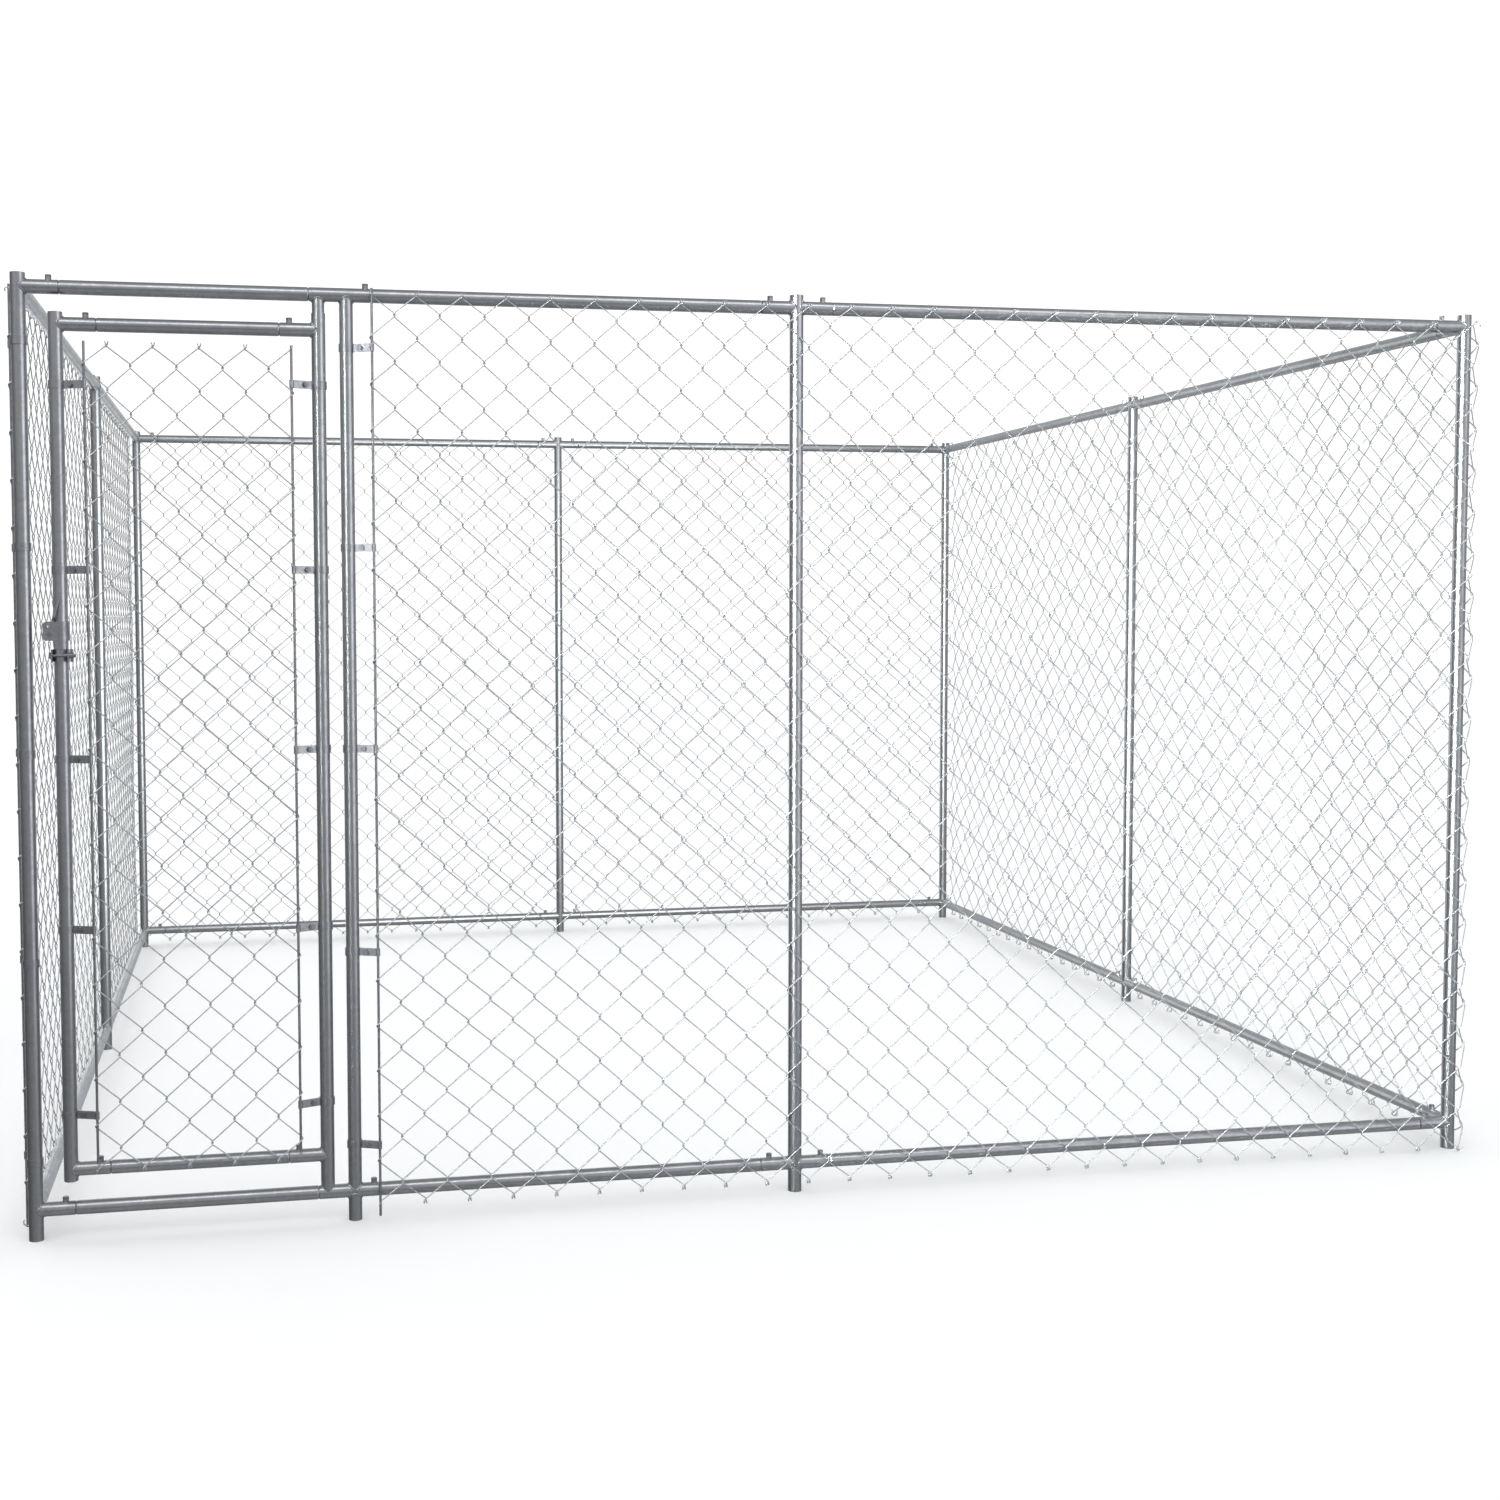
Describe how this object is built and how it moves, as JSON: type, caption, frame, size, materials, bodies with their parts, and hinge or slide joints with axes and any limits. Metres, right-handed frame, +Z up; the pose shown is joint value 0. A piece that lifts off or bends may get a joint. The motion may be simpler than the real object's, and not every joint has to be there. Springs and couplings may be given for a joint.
{
  "type": "outdoor dog kennel run",
  "caption": "Square open-top dog run of galvanised tube with chain-link wire round its sides and a narrow hinged gate held by a drop fork latch.",
  "frame": {"origin": "on the ground, at the middle of the run's plan", "axes": "+Z up; the front with the gate faces -Y; +X runs from the gate's corner to the other front corner"},
  "size_m": [3.0563, 3.0556, 1.83],
  "materials": {
    "tube": "hot-dip galvanised, satin",
    "wire": "galvanised wire, satin",
    "fittings": "zinc plated, satin"
  },
  "bodies": {
    "frame": {"post_front_left": "tube", "post_front_mid": "tube", "post_front_right": "tube", "post_right_mid": "tube", "post_back_right": "tube", "post_back_mid": "tube", "post_back_left": "tube", "post_left_mid": "tube", "hinge_post": "tube", "rail_header": "tube", "rail_threshold": "tube", "rail_front_top_1": "tube", "rail_front_top_2": "tube", "rail_front_low_1": "tube", "rail_front_low_2": "tube", "rail_right_top_1": "tube", "rail_right_top_2": "tube", "rail_right_low_1": "tube", "rail_right_low_2": "tube", "rail_back_top_1": "tube", "rail_back_top_2": "tube", "rail_back_low_1": "tube", "rail_back_low_2": "tube", "rail_left_top_1": "tube", "rail_left_top_2": "tube", "rail_left_low_1": "tube", "rail_left_low_2": "tube", "set_bolts": "fittings", "net_front": "wire", "net_right": "wire", "net_back_side": "wire", "net_left": "wire", "rod_front": "tube", "rod_left": "tube", "bands_front": "tube", "bands_left": "tube", "band_bolts": "fittings"},
    "gate": {"gate_stile_latch": "tube", "gate_stile_hinge": "tube", "gate_rail_top": "tube", "gate_rail_low": "tube", "gate_bolts": "fittings", "gate_net": "wire", "gate_rod_latch": "tube", "gate_rod_hinge": "tube", "gate_bands_latch": "tube", "gate_bands_hinge": "tube", "gate_band_bolts": "fittings", "latch_plate": "fittings", "latch_pin": "fittings", "latch_clamp": "fittings", "latch_bolt": "fittings", "latch_wing_nut": "fittings"},
    "fork": {"latch_fork": "fittings"}
  },
  "joints": [
    {"name": "gate_swing", "type": "hinge", "parent": "frame", "child": "gate", "pos_m": [-0.953, -1.505, 0.9], "axis": [0, 0, 1], "range_deg": [-110, 110]},
    {"name": "fork_drop", "type": "hinge", "parent": "gate", "child": "fork", "pos_m": [-1.459, -1.505, 1.157], "axis": [0, -1, 0], "range_deg": [0, 126]}
  ]
}
